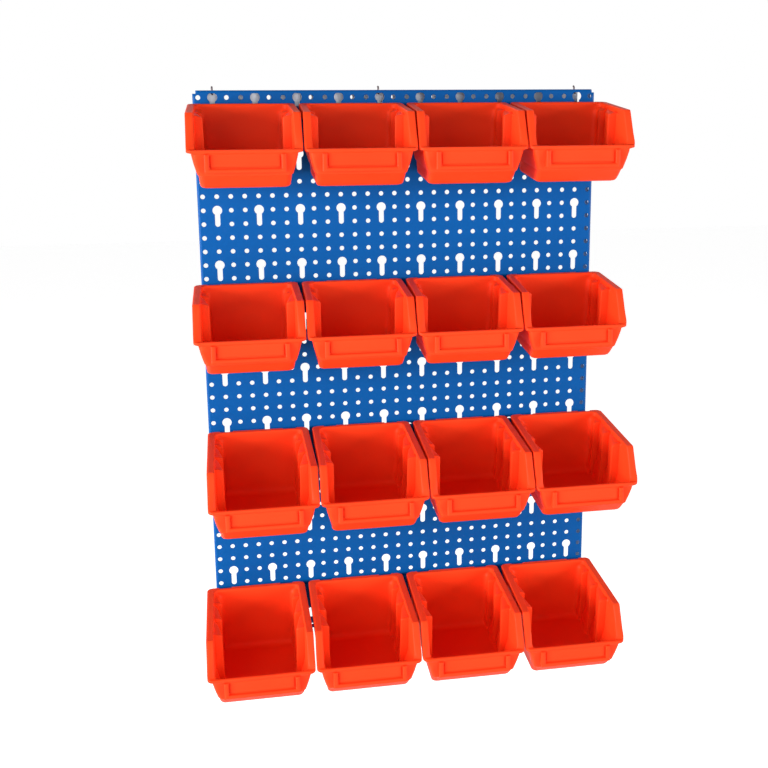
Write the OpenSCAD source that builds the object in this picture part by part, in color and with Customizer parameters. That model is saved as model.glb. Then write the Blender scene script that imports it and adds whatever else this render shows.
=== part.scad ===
// Pegboard tool wall: a perforated steel panel with four hanging rails and sixteen open-fronted bins.
// Millimetres, +Z up, front towards -Y. The origin is the centre of the panel's front face.

/* [Perforated panel] */
// Distance between neighbouring holes
hole_pitch = 13; // [12:0.5:15]
// Holes across the panel, a multiple of three
hole_cols = 30; // [27:3:36]
// Hole rows below the lowest rail's own row
rows_below = 5; // [4:1:12]
// Diameter of a round hole
hole_d = 4.4; // [3.6:0.1:5]
// Diameter of a keyhole's head
key_head_d = 9; // [7.5:0.1:10]
// Width of a keyhole's slot
key_slot_w = 4.8; // [4:0.1:5.6]
// Sheet thickness
sheet_t = 1.2; // [0.8:0.1:1.6]
// From the last column of holes to the panel's side
edge_x = 5; // [4.4:0.1:8]
// From the last row of holes to the panel's top and bottom
edge_z = 6.5; // [6:0.1:9]
// How far the folded edges stand back from the front
flange_depth = 20; // [16:0.5:30]
// Outside radius of the folds
fold_r = 2.4; // [1.8:0.1:3]
// Size of the square relief cut at each corner
relief = 3; // [2.6:0.1:4]

/* [Wall bracket and hooks] */
// Thickness of the bracket behind the top holes
bracket_t = 1.5; // [1:0.1:2.5]
// Height of the bracket's upright leg
bracket_h = 26; // [20:1:40]
// Depth of the bracket's level leg, under the panel's top fold
bracket_leg = 14; // [13:0.5:15]
// Wire diameter of the three hanging hooks
wire_d = 1.8; // [1.4:0.1:2.4]
// How far a hook stands above the panel's top
hook_rise = 2; // [1.5:0.5:9]

/* [Hanging rails] */
// Thickness of the rail's steel strip
rail_t = 1.2; // [1:0.1:1.6]
// Room in the rail below the bins' moulded hooks
clip_room = 2.3; // [1:0.1:4]
// From the screws' line down to the rail's lower edge
rail_edge = 8.4; // [5:0.2:14]
// Screw thread diameter
screw_d = 4; // [3:0.1:4.2]
// Screw head diameter
head_d = 8; // [7:0.1:9]
// Screw head height
head_h = 2.4; // [2:0.1:2.8]
// Nut width across its flats
nut_af = 7; // [6:0.1:8]
// Nut height
nut_h = 3.2; // [2.4:0.1:4]

/* [Bin layout] */
// Hole rows from one row of bins to the next
row_step = 12; // [12:1:13]
// Hole rows by which the second and fourth rows hang lower
low_rows = 1; // [0:1:2]
// From a hole row down to the bins' rims
rim_drop = 3; // [2:0.1:5]
// Space between neighbouring bins at their front lips
bin_gap = 1.2; // [1:0.1:8]
// How far a bin's rear edge stands off the panel
bin_standoff = 3; // [2.6:0.1:4]
// Forward lean of a hung bin, and the draft of its back wall, in degrees
bin_tilt = 6; // [3:0.5:7]

/* [Bin shell] */
// Bin width over its rims
bin_w = 100.4; // [90:0.2:110]
// Depth of the deep bins, in the two lower rows, from rear edge to front lip
bin_d = 115; // [113:1:140]
// Bin height
bin_h = 65.5; // [62:0.5:75]
// Wall thickness
wall_t = 2.2; // [1.6:0.1:2.6]
// Floor thickness
floor_t = 2.2; // [1.6:0.1:3]
// Rim thickness
rim_t = 2; // [1.6:0.1:2.4]
// From the outside of the wall to the outside of the rim
rim_out = 4.6; // [4:0.1:6]
// Length of the level part of the deep bins' side rims
level_rim = 95; // [85:1:97]
// How far forward the rims' slopes run, down to the lip
slope_run = 17; // [12:1:18]
// From the rims down to the front lip
lip_drop = 29.5; // [24:0.5:32]
// Height of the skirt that hangs from the rims
skirt_h = 8; // [6:0.5:10]
// Height of the bead along the front lip
bead_h = 3; // [2:0.5:3.5]
// Height of the narrower foot
foot_h = 13; // [11:0.5:16]
// How far the front wall leans back, from the lip down to the foot
front_lean = 3.6; // [2:0.1:5]
// How far the foot's front leans back, down to the floor
foot_lean = 11.1; // [6:0.1:14]
// Depth of a wall rib's step
rib_step = 2.2; // [1:0.1:2.6]
// From the rear edge to the first rib's step
rib_first = 21.5; // [18:0.5:26]
// Distance between the ribs' steps, by which the upper two rows' bins are shallower
rib_pitch = 28; // [22:0.5:30]

/* [Bin label holder and hooks] */
// Width of the label holder
label_w = 70; // [50:1:74]
// Height of the label holder
label_h = 15.4; // [10:0.2:16]
// Width of the label holder's rails
label_rail = 4; // [2:0.1:5]
// Width of each moulded hook
clip_w = 13.4; // [8:0.2:18]
// Distance between the moulded hooks' centres
clip_gap = 62; // [50:1:70]
// Length of the moulded hooks below the rim
clip_h = 7.5; // [6:0.1:8]

/* [Hidden] */

gap = 0.4;
hole_rows = 3 * row_step + low_rows + rows_below;
panel_w = (hole_cols - 1) * hole_pitch + 2 * edge_x;
panel_h = (hole_rows - 1) * hole_pitch + 2 * edge_z;
hole_n = 20;
fold_land = 0.2;
clip_t = 1.5;
clip_back = clip_t + rail_t + 2 * gap;
rail_out = bin_standoff + clip_t + gap;
rail_top = rim_t + 0.7;
rail_lip = rim_t + clip_h + clip_room - rail_top;
screw_drop = 2 * hole_pitch - rim_drop;
skirt_t = 1.8;
skirt_from = clip_back + wall_t + 3;
taper = 0.0126;
pocket_t = 1.2;
bead_out = 1.2;
foot_in = 1.2;
side_draft = 0.4;
waist_h = 9.7;
waist_in = 3.8;
waist_z = lip_drop + 2.5;
row_shift = [2.8, 0.8, 6.7, -1.5];
row_lower = [2.4, 1.6, 4.8, 0];
slot_len = max(row_lower) + 0.2;
hook_cols = [1, 13, hole_cols - 2];
screw_cols = [2, 11, hole_cols - 12, hole_cols - 3];

function col_x(c) = (c - (hole_cols - 1) / 2) * hole_pitch;
function row_z(r) = ((hole_rows - 1) / 2 - r) * hole_pitch;
function is_key_col(c) = c % 3 == 1;
function rail_hole_row(i) = i * row_step + (i % 2) * low_rows;
function rim_z(i) = row_z(rail_hole_row(i)) - rim_drop - row_lower[i];
// The upper two rows hold shallow bins with two ribs a side, the lower two deep ones with three.
function ribs_in(i) = i < 2 ? 2 : 3;
function depth_of(i) = bin_d - (3 - ribs_in(i)) * rib_pitch;
function level_of(i) = level_rim - (3 - ribs_in(i)) * rib_pitch;
function bin_x(i, j) = (j - 1.5) * (bin_w + bin_gap) + row_shift[i];

// A corner eased over the distance d, as n straight steps of a parabola.
function unit(v) = v / norm(v);
function eased(a, p, b, d, n) = [
    for (k = [0 : n])
        let (t = k / n)
            pow(1 - t, 2) * (p + d * unit(a - p)) + 2 * t * (1 - t) * p + pow(t, 2) * (p + d * unit(b - p))
];
function ease_corner(pts, i, d, n) =
    eased(pts[(i + len(pts) - 1) % len(pts)], pts[i], pts[(i + 1) % len(pts)], d, n);
// Each point carries its own easing distance as its third number; 0 leaves it sharp.
function ease_all(pts, n) = [
    for (i = [0 : len(pts) - 1])
        let (flat = [for (p = pts) [p[0], p[1]]])
            each (pts[i][2] > 0 ? ease_corner(flat, i, pts[i][2], n) : [flat[i]])
];
function mirrored(half) = concat(half, [
    for (i = [len(half) - 1 : -1 : 0])
        [-half[i][0], half[i][1], half[i][2]]
]);

// Profiles drawn in one view and pulled through the whole bin along the third direction.
module along_y(from, to) {
    translate([0, to, 0])
        rotate([90, 0, 0])
            linear_extrude(height = to - from)
                children();
}

module along_x(from, to) {
    translate([from, 0, 0])
        rotate([90, 0, 90])
            linear_extrude(height = to - from)
                children();
}

// ---- Perforated panel ----

module keyhole() {
    circle(r = key_head_d / 2, $fn = 32);
    translate([-key_slot_w / 2, -hole_pitch])
        square([key_slot_w, hole_pitch]);
    translate([0, -hole_pitch])
        circle(r = key_slot_w / 2, $fn = hole_n);
}

module hole_grid() {
    for (c = [0 : hole_cols - 1])
        for (r = [0 : hole_rows - 1])
            translate([col_x(c), row_z(r)])
                if (is_key_col(c) && r % 4 == 0 && r < hole_rows - 1)
                    keyhole();
                else if (!(is_key_col(c) && r % 4 == 1))
                    circle(r = hole_d / 2, $fn = hole_n);
}

module front_sheet() {
    along_y(0, sheet_t)
        difference() {
            square([panel_w - 2 * fold_r, panel_h - 2 * fold_r], center = true);
            hole_grid();
            for (x = [-1, 1])
                for (z = [-1, 1])
                    translate([x * panel_w / 2, z * panel_h / 2])
                        square(2 * relief, center = true);
        }
}

// A quarter bend, with the short flat runs that it shares with the sheet and the flange.
module fold_section() {
    intersection() {
        difference() {
            circle(r = fold_r, $fn = 32);
            circle(r = fold_r - sheet_t, $fn = 32);
        }
        translate([0, -fold_r])
            square([fold_r, fold_r]);
    }
    translate([-fold_land, -fold_r])
        square([fold_land, sheet_t]);
    translate([fold_r - sheet_t, 0])
        square([sheet_t, fold_land]);
}

module side_flange() {
    run = panel_h - 2 * relief;
    translate([panel_w / 2 - fold_r, fold_r, -run / 2])
        linear_extrude(height = run)
            fold_section();
    along_x(panel_w / 2 - sheet_t, panel_w / 2)
        difference() {
            translate([fold_r, -run / 2])
                square([flange_depth - fold_r, run]);
            for (r = [0 : hole_rows - 1])
                translate([flange_depth / 2, row_z(r)])
                    circle(r = hole_d / 2, $fn = hole_n);
        }
}

module end_flange() {
    run = panel_w - 2 * relief;
    translate([-run / 2, fold_r, panel_h / 2 - fold_r])
        rotate([90, 0, 90])
            linear_extrude(height = run)
                rotate([0, 0, 180])
                    fold_section();
    translate([0, 0, panel_h / 2 - sheet_t])
        linear_extrude(height = sheet_t)
            difference() {
                translate([-run / 2, fold_r])
                    square([run, flange_depth - fold_r]);
                for (c = [1 : hole_cols - 2])
                    translate([col_x(c), flange_depth / 2])
                        circle(r = hole_d / 2, $fn = hole_n);
            }
}

module panel() {
    color([0.0, 0.33, 0.66]) {
        front_sheet();
        side_flange();
        mirror([1, 0, 0])
            side_flange();
        end_flange();
        mirror([0, 0, 1])
            end_flange();
    }
}

// ---- Bracket behind the top row of holes, and the wire hooks through the top fold ----

module wall_bracket() {
    run = (hole_cols - 2) * hole_pitch;
    top = panel_h / 2 - sheet_t;
    color([0.68, 0.68, 0.72])
        difference() {
            union() {
                along_x(-run / 2, run / 2)
                    translate([flange_depth - bracket_t, top - bracket_h])
                        square([bracket_t, bracket_h]);
                along_x(-run / 2, run / 2)
                    translate([flange_depth - bracket_leg, top - bracket_t])
                        square([bracket_leg, bracket_t]);
            }
            for (c = [2 : 3 : hole_cols - 1])
                translate([col_x(c), flange_depth + 1, row_z(0)])
                    rotate([90, 0, 0])
                        cylinder(r = hole_d / 2, h = bracket_t + 2, $fn = hole_n);
            for (c = hook_cols)
                translate([col_x(c), flange_depth / 2, top - bracket_t - 1])
                    cylinder(r = hole_d / 2, h = bracket_t + 2, $fn = hole_n);
        }
}

module hang_hook() {
    head = 2.6;
    foot = 3.2;
    cylinder(r = wire_d / 2, h = hook_rise + sheet_t + bracket_t + wire_d / 2, $fn = 16);
    rotate([90, 0, 0])
        cylinder(r = wire_d / 2, h = foot, $fn = 16);
    translate([0, 0, hook_rise + sheet_t + bracket_t + wire_d / 2])
        rotate([-60, 0, 0])
            cylinder(r = wire_d / 2, h = head, $fn = 16);
    sphere(r = wire_d / 2, $fn = 16);
    translate([0, 0, hook_rise + sheet_t + bracket_t + wire_d / 2])
        sphere(r = wire_d / 2, $fn = 16);
}

module hang_hooks() {
    color([0.3, 0.3, 0.32])
        for (c = hook_cols)
            translate([col_x(c), flange_depth / 2, panel_h / 2 - sheet_t - bracket_t - wire_d / 2])
                hang_hook();
}

// ---- Hanging rails, one a row, screwed through the panel's holes ----

module rail_slot() {
    circle(r = hole_d / 2, $fn = hole_n);
    translate([0, slot_len])
        circle(r = hole_d / 2, $fn = hole_n);
    translate([-hole_d / 2, 0])
        square([hole_d, slot_len]);
}

module rail(i) {
    low = rail_top + rail_lip + rail_t;
    color([0.0, 0.33, 0.66])
        translate([0, 0, rim_z(i)])
            difference() {
                along_x(-panel_w / 2, panel_w / 2)
                    polygon([
                        [0, -screw_drop - rail_edge],
                        [0, -low + rail_t],
                        [-rail_out, -low + rail_t],
                        [-rail_out, -rail_top],
                        [-rail_out - rail_t, -rail_top],
                        [-rail_out - rail_t, -low],
                        [-rail_t, -low],
                        [-rail_t, -screw_drop - rail_edge]
                    ]);
                for (c = screw_cols)
                    translate([col_x(c), 1, -screw_drop])
                        rotate([90, 0, 0])
                            linear_extrude(height = rail_t + 2)
                                rail_slot();
            }
}

module at_screws() {
    for (i = [0 : 3])
        for (c = screw_cols)
            translate([col_x(c), 0, row_z(rail_hole_row(i) + 2)])
                rotate([90, 0, 0])
                    children();
}

module rail_screw() {
    under = rail_t;
    translate([0, 0, under])
        cylinder(r = head_d / 2, h = head_h * 0.6, $fn = 32);
    translate([0, 0, under + head_h * 0.6])
        cylinder(r1 = head_d / 2, r2 = head_d * 0.3, h = head_h * 0.4, $fn = 32);
    translate([0, 0, -sheet_t - nut_h - 1])
        cylinder(r = screw_d / 2, h = sheet_t + nut_h + 1 + under, $fn = 24);
}

module cross_slot() {
    for (a = [0, 90])
        rotate([0, 0, a])
            translate([-head_d * 0.22, -0.5, rail_t + head_h * 0.45])
                cube([head_d * 0.44, 1, head_h]);
}

module rail_screws() {
    color([0.7, 0.7, 0.72])
        at_screws()
            difference() {
                rail_screw();
                cross_slot();
            }
}

module rail_nuts() {
    color([0.7, 0.7, 0.72])
        at_screws()
            translate([0, 0, -sheet_t - nut_h])
                difference() {
                    cylinder(r = nut_af / sqrt(3), h = nut_h, $fn = 6);
                    translate([0, 0, -1])
                        cylinder(r = screw_d / 2 + 0.02, h = nut_h + 2, $fn = 24);
                }
}

// ---- Bin: crossed front, side and plan profiles for the shell and for its cavity ----

half_w = bin_w / 2;
wall_out = half_w - rim_out;
rear_in = bin_d * taper;
slope = [-slope_run, -lip_drop];
slope_n = unit([-slope[1], slope[0]]);
slope_u = unit(slope);

function back_y(depth) = -(clip_back + tan(bin_tilt) * depth);
// Where the line set in by t from the rim's slope meets a given height. Here and below, d is the
// bin's depth and lv the length of its level rims.
function slope_at(lv, t, z) =
    let (p = [-lv, 0] + t * slope_n)
        let (k = (z - p[1]) / slope_u[1])
            p + k * slope_u;

module shell_front() {
    polygon(ease_all(mirrored([
        [wall_out, 0, 0],
        [wall_out - side_draft, -waist_z, 0],
        [wall_out - 3 * side_draft, -bin_h + foot_h + waist_h, 3],
        [wall_out - waist_in, -bin_h + foot_h + foot_in, 1.5],
        [wall_out - waist_in - foot_in, -bin_h + foot_h, 0],
        [wall_out - waist_in - 2 * foot_in, -bin_h, 4]
    ]), 4));
}

module cavity_front() {
    polygon(ease_all(mirrored([
        [wall_out - wall_t, 5, 0],
        [wall_out - wall_t - side_draft, -waist_z, 0],
        [wall_out - wall_t - 3 * side_draft, -bin_h + foot_h + waist_h, 3],
        [wall_out - wall_t - waist_in, -bin_h + foot_h + foot_in, 1.5],
        [wall_out - wall_t - waist_in - 2 * foot_in, -bin_h + floor_t, 5]
    ]), 4));
}

module shell_side(d, lv) {
    polygon(ease_all([
        [back_y(0), 0, 0],
        [-lv, 0, 0],
        [-lv - slope_run, -lip_drop, 0],
        [-d, -lip_drop, 0],
        [-d, -lip_drop - bead_h, 0],
        [-d + bead_out, -lip_drop - bead_h - bead_out, 0],
        [-d + front_lean, -bin_h + foot_h, 0],
        [-d + front_lean + foot_in, -bin_h + foot_h - foot_in, 0],
        [-d + front_lean + foot_lean, -bin_h, 4],
        [back_y(bin_h), -bin_h, 14]
    ], 4));
}

module cavity_side(d) {
    polygon(ease_all([
        [back_y(0) - wall_t, 5, 0],
        [-d + wall_t, 5, 0],
        [-d + wall_t, -lip_drop, 0],
        [-d + front_lean + wall_t, -bin_h + foot_h + foot_in, 3],
        [-d + front_lean + foot_lean + wall_t, -bin_h + floor_t, 5],
        [back_y(bin_h - floor_t) - wall_t, -bin_h + floor_t, 12]
    ], 4));
}

module shell_plan(d) {
    polygon(ease_all(mirrored([
        [wall_out, -d, 6],
        [wall_out - rear_in, back_y(0), 8]
    ]), 4));
}

function rib_y(i) = -(rib_first + i * rib_pitch);
// The walls' inside half-width at a given y, between the ribs; it narrows towards the rear.
function inner_at(d, y) = wall_out - wall_t - 0.2 - rear_in * (1 + y / d);
module cavity_plan(d, ribs) {
    front = -d + wall_t;
    rear = back_y(0) - wall_t;
    polygon(ease_all(mirrored(concat(
        [[inner_at(d, front), front, 5]],
        [for (i = [ribs - 1 : -1 : 0]) each [
            [inner_at(d, rib_y(i)), rib_y(i), 0],
            [inner_at(d, rib_y(i)) - rib_step, rib_y(i), 0]
        ]],
        [[inner_at(d, rear) - rib_step, rear, 7]]
    )), 4));
}

module rim_plan(d, inset) {
    polygon(ease_all(mirrored([
        [half_w - inset, -d + inset, 5],
        [half_w - inset - rear_in, -inset, 5]
    ]), 4));
}

module rim_side(d, lv, t, low, rear) {
    a = slope_at(lv, t, -t);
    b = slope_at(lv, t, -low);
    polygon([
        [-rear, 0],
        [-lv, 0],
        [-lv - slope_run, -lip_drop],
        [-d, -lip_drop],
        [-d, -low],
        b,
        a,
        [-rear, -t]
    ]);
}

module bin_rim(d, lv) {
    intersection() {
        translate([0, 0, -bin_h])
            linear_extrude(height = bin_h)
                rim_plan(d, 0);
        along_x(-half_w, half_w)
            rim_side(d, lv, rim_t, waist_z, 0);
    }
    intersection() {
        translate([0, 0, -bin_h])
            linear_extrude(height = bin_h)
                difference() {
                    rim_plan(d, 0);
                    rim_plan(d, skirt_t);
                }
        along_x(-half_w, half_w)
            rim_side(d, lv, skirt_h, waist_z, skirt_from);
    }
}

module bin_body(d, lv) {
    intersection() {
        along_y(-d, 0)
            shell_front();
        along_x(-half_w, half_w)
            shell_side(d, lv);
        translate([0, 0, -bin_h])
            linear_extrude(height = bin_h)
                shell_plan(d);
    }
}

module bin_cavity(d, ribs) {
    intersection() {
        along_y(-d, 0)
            cavity_front();
        along_x(-half_w, half_w)
            cavity_side(d);
        translate([0, 0, -bin_h])
            linear_extrude(height = bin_h + 5)
                cavity_plan(d, ribs);
    }
}

module rib_notches(d, ribs) {
    for (s = [-1, 1])
        for (i = [0 : ribs - 1])
            translate([s * (inner_at(d, rib_y(i)) - rib_step + 0.5) - 1.5, rib_y(i) + 2.2, -rim_t - 7])
                rotate([0, 90, 0])
                    cylinder(r = 2.8, h = 3, $fn = 24);
}

module label_holder(d) {
    top = -lip_drop - bead_h - 1;
    low = top - label_h;
    lean = 0.2 * label_h;
    difference() {
        along_x(-label_w / 2, label_w / 2)
            polygon([
                [-d + wall_t, top],
                [-d - 0.2, top],
                [-d - 0.2 - lean, low],
                [-d + front_lean + wall_t, low]
            ]);
        along_x(-label_w / 2 + label_rail, label_w / 2 - label_rail)
            polygon([
                [-d + pocket_t, top + 2],
                [-d - label_h, top + 2],
                [-d - label_h, low + label_rail * 0.8],
                [-d + pocket_t - lean, low + label_rail * 0.8]
            ]);
    }
}

module clips() {
    shift = tan(bin_tilt) * (rim_t + clip_h);
    for (s = [-1, 1])
        translate([s * clip_gap / 2, 0, 0])
            along_x(-clip_w / 2, clip_w / 2)
                polygon([
                    [0, 0],
                    [-clip_t, 0],
                    [-clip_t - shift, -rim_t - clip_h],
                    [-shift, -rim_t - clip_h]
                ]);
}

module clip_slots() {
    for (s = [-1, 1])
        translate([s * clip_gap / 2 - clip_w / 2, -clip_back + 0.1, -rim_t - 0.2])
            cube([clip_w, clip_back - clip_t - 0.1, rim_t + 1]);
}

module bin(d, lv, ribs) {
    difference() {
        union() {
            bin_body(d, lv);
            bin_rim(d, lv);
            label_holder(d);
        }
        bin_cavity(d, ribs);
        rib_notches(d, ribs);
        clip_slots();
    }
    clips();
}

module hung_bin(i, j) {
    color([1.0, 0.36, 0.12])
        translate([bin_x(i, j), -bin_standoff, rim_z(i)])
            rotate([bin_tilt, 0, 0])
                bin(depth_of(i), level_of(i), ribs_in(i));
}

panel();
wall_bracket();
hang_hooks();
rail(0);  // rail_row1
rail(1);  // rail_row2
rail(2);  // rail_row3
rail(3);  // rail_row4
rail_screws();
rail_nuts();
hung_bin(0, 0);  // bin_r1c1
hung_bin(0, 1);  // bin_r1c2
hung_bin(0, 2);  // bin_r1c3
hung_bin(0, 3);  // bin_r1c4
hung_bin(1, 0);  // bin_r2c1
hung_bin(1, 1);  // bin_r2c2
hung_bin(1, 2);  // bin_r2c3
hung_bin(1, 3);  // bin_r2c4
hung_bin(2, 0);  // bin_r3c1
hung_bin(2, 1);  // bin_r3c2
hung_bin(2, 2);  // bin_r3c3
hung_bin(2, 3);  // bin_r3c4
hung_bin(3, 0);  // bin_r4c1
hung_bin(3, 1);  // bin_r4c2
hung_bin(3, 2);  // bin_r4c3
hung_bin(3, 3);  // bin_r4c4
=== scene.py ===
import bmesh
import bpy
import numpy as np
from mathutils import Matrix, Vector


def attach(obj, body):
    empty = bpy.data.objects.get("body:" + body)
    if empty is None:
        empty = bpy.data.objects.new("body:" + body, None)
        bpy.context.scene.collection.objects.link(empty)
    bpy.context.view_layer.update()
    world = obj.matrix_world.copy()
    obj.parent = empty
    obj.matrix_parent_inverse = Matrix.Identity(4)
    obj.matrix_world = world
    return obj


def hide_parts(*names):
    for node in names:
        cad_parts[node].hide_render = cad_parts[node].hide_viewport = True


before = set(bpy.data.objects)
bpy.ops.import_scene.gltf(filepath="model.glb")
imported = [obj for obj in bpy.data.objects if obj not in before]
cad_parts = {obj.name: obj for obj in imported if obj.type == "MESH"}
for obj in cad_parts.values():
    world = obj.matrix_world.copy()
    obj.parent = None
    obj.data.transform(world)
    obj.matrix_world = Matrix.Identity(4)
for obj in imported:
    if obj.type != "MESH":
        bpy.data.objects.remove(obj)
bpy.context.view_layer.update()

# ---- Perforated panel ----
# One sheet of 1.2 mm steel, punched with round holes and keyholes on a 13 mm pitch, its four
# edges folded back 20 mm, then coated all over in satin blue powder. All sizes here are in mm.
mm = 0.001                               # one millimetre in metres
weld, sliver = 0.000004, 0.000002        # metres: doubles merge within the first, edges under the second go
pitch = 13.0
quarter = pitch / 4
columns, hole_rows = 30, 42
sheet, fold, flange = 1.2, 2.4, 20.0     # thickness, outside radius of the folds, depth of the folded edges
side_x, top_z = 193.5, 273.0             # outer faces of the folded edges
flat_x, flat_z = 191.1, 270.6            # where the flat runs into the folds
top_end, side_end = 190.5, 270.0         # where the corners' relief cuts end the folds
hole_r, slot_r, head_r = 2.2, 2.4, 4.5   # the round holes, and the keyholes' slots and heads
head_from = 57.77                        # degrees below level at which a head runs into its slot
head_limit = 270.2                       # the first row's heads are cut level here, short of the fold
flange_hole = 10.0                       # how far back the folded edges' own holes stand
rolled = 0.3                             # how far the punch rolls a hole's edge in
close = 0.4                              # a station nearer than this to a strip's end counts as its end


def hex_colour(code):
    """Linear colour of an sRGB code: a channel c becomes ((c + 0.055) / 1.055) ** 2.4, or c / 12.92 where
    it is dark."""
    c = np.array([int(code[i:i + 2], 16) for i in (1, 3, 5)]) / 255
    return (*np.where(c <= 0.04045, c / 12.92, ((c + 0.055) / 1.055) ** 2.4), 1.0)


def add(tree, kind, inputs=(), feeds=(), **settings):
    """Adds one shader node. inputs gives a socket its value, or the output that feeds it, and feeds gives
    one of the node's outputs the socket that it feeds."""
    made = tree.nodes.new(kind)
    for name, value in settings.items():
        setattr(made, name, value)
    for name, value in dict(inputs).items():
        if isinstance(value, bpy.types.NodeSocket):
            tree.links.new(value, made.inputs[name])
        else:
            made.inputs[name].default_value = value
    for name, socket in dict(feeds).items():
        tree.links.new(made.outputs[name], socket)
    return made


def finish_of(name):
    """A new material, its node tree, its main shader and the object coordinates, in metres."""
    made = bpy.data.materials.new(name)
    made.use_nodes = True
    tree = made.node_tree
    return made, tree, tree.nodes["Principled BSDF"], add(tree, "ShaderNodeTexCoord").outputs["Object"]


def put(name, points, faces, smooth, material, body, replaced, slot):
    """A mesh from points in mm and faces of point numbers: doubles are merged and faces turned outwards. It
    rides on the body, stands for the replaced nodes and takes material as its finish. slot is not used."""
    faces = faces if isinstance(faces, list) else faces.tolist()
    data = bpy.data.meshes.new(name)
    data.from_pydata(np.asarray(points, float) * mm, [], faces)
    data.polygons.foreach_set("use_smooth", np.broadcast_to(smooth, len(data.polygons)).astype(bool))
    work = bmesh.new()
    work.from_mesh(data)
    bmesh.ops.remove_doubles(work, verts=work.verts, dist=weld)
    bmesh.ops.dissolve_degenerate(work, edges=work.edges, dist=sliver)
    bmesh.ops.recalc_face_normals(work, faces=work.faces)
    work.to_mesh(data)
    work.free()
    data.materials.append(material)
    piece = bpy.data.objects.new(name, data)
    bpy.context.scene.collection.objects.link(piece)
    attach(piece, body)
    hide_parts(*replaced)
    return piece


def lattice(grid):
    """Points and four-sided faces of a grid of points (rows, columns, 3)."""
    n, m = grid.shape[:2]
    k = (np.arange(n - 1)[:, None] * m + np.arange(m - 1)).ravel()
    return grid.reshape(-1, 3), np.stack([k, k + 1, k + m + 1, k + m], 1)


def gather(patches):
    """Joins patches of (points, faces, smooth) into one list of each."""
    starts = np.cumsum([0] + [len(points) for points, _, _ in patches])
    return (np.concatenate([points for points, _, _ in patches]),
            np.concatenate([faces + start for (_, faces, _), start in zip(patches, starts)]),
            np.concatenate([np.broadcast_to(smooth, len(faces)) for _, faces, smooth in patches]))


def unit(v):
    """Each vector divided by its length. One without length stays as it is."""
    return v / np.maximum(np.linalg.norm(v, axis=-1, keepdims=True), 1e-6)


def punched(outline, ring, place):
    """Cells of sheet round a hole. outline and ring are (cells, n, 2): the flat runs from the outline to
    the hole's rolled edge, down the hole's wall, and back over the rear face to the outline. The rolled
    edge stands out from the ring square to the mean of the two sides that meet there. place turns (u, v,
    depth) into x, y, z."""
    cells, n = ring.shape[:2]
    before = unit(ring - np.roll(ring, 1, 1))
    mean = before + np.roll(before, -1, 1)
    wide = ring + rolled * unit(np.stack([mean[..., 1], -mean[..., 0]], 2))
    loops = ((outline, 0.0), (wide, 0.0), (ring, rolled), (ring, sheet), (outline, sheet))
    points = np.stack([place(one[..., 0], one[..., 1], np.full(one.shape[:2], depth))
                       for one, depth in loops], 1)
    j = np.arange(n)
    quad = np.stack([j, (j + 1) % n, (j + 1) % n + n, j + n], 1)
    quads = (quad + n * np.arange(4)[:, None, None]).reshape(-1, 4)
    faces = (quads + (np.arange(cells) * 5 * n)[:, None, None]).reshape(-1, 4)
    return points.reshape(-1, 3), faces, np.tile(np.repeat([False, True, True, False], n), cells)


def front(u, v, depth):
    """The front face: u along x, v along z, depth along y."""
    return np.stack([u, depth, v], -1)


# A round hole of 16 points in a square cell with as many round its edge.
walk = np.array([(-2, -2), (-1, -2), (0, -2), (1, -2), (2, -2), (2, -1), (2, 0), (2, 1),
                 (2, 2), (1, 2), (0, 2), (-1, 2), (-2, 2), (-2, 1), (-2, 0), (-2, -1)]) * quarter
turn = np.radians(225 + 22.5 * np.arange(16))
circle = hole_r * np.stack([np.cos(turn), np.sin(turn)], 1)

# A keyhole's edge: the slot's round end, its right side, the head, and its left side. Each of its
# 34 points is joined to one of the 24 points round its two cells.
slot_turn = np.radians(180 + 22.5 * np.arange(9))
head_turn = np.radians(np.linspace(-head_from, 180 + head_from, 21))
keyhole = np.concatenate([
    slot_r * np.stack([np.cos(slot_turn), np.sin(slot_turn)], 1) - [0, pitch],
    [(slot_r, -3 * quarter), (slot_r, -2 * quarter)],
    head_r * np.stack([np.cos(head_turn), np.sin(head_turn)], 1),
    [(-slot_r, -2 * quarter), (-slot_r, -3 * quarter)]])
tall = np.array([(-2, -6), (-1, -6), (0, -6), (1, -6), (2, -6), (2, -5), (2, -4), (2, -3), (2, -2), (2, -1),
                 (2, 0), (2, 1), (2, 2), (1, 2), (0, 2), (-1, 2), (-2, 2), (-2, 1), (-2, 0), (-2, -1),
                 (-2, -2), (-2, -3), (-2, -4), (-2, -5)]) * quarter
joined = [22, 23, 0, 1, 2, 3, 4, 5, 6, 7, 8, 9, 9, 10, 10, 10, 11, 11, 12, 13, 13, 14,
          15, 15, 16, 17, 17, 18, 18, 18, 19, 19, 20, 21]

# Every third column has keyholes over rows 0 and 1, 4 and 5, and so on, and round holes fill the rest. The
# last row has all its round holes, also where they meet the ends of the last keyholes.
col_x = (np.arange(columns) - (columns - 1) / 2) * pitch
row_z = ((hole_rows - 1) / 2 - np.arange(hole_rows)) * pitch
column_no, row_no = np.meshgrid(np.arange(columns), np.arange(hole_rows), indexing="ij")
keyed = (column_no % 3 == 1) & (row_no < hole_rows - 1)
key_cell = keyed & (row_no % 4 == 0)
round_cell = ~(keyed & (row_no % 4 < 2))


def within_flat(points):
    """Cell corners outside the flat are drawn in to its edges, and at the corners to the relief cuts."""
    x, z = np.abs(points[..., 0]), np.abs(points[..., 1])
    near_x = np.where((z > top_z - 1) & (x > top_end), top_end, np.minimum(x, flat_x))
    near_z = np.where((x > side_x + 1) & (z > side_end - 0.5), side_end, np.minimum(z, flat_z))
    return np.sign(points) * np.stack([near_x, near_z], -1)


patches = []
for cells, outline, ring in ((round_cell, walk, circle), (key_cell, tall[joined], keyhole)):
    centre = np.stack([col_x[column_no[cells]], row_z[row_no[cells]]], 1)[:, None]
    edge = centre + ring
    edge[..., 1] = np.clip(edge[..., 1], -head_limit, head_limit)
    patches.append(punched(within_flat(centre + outline), edge, front))

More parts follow.
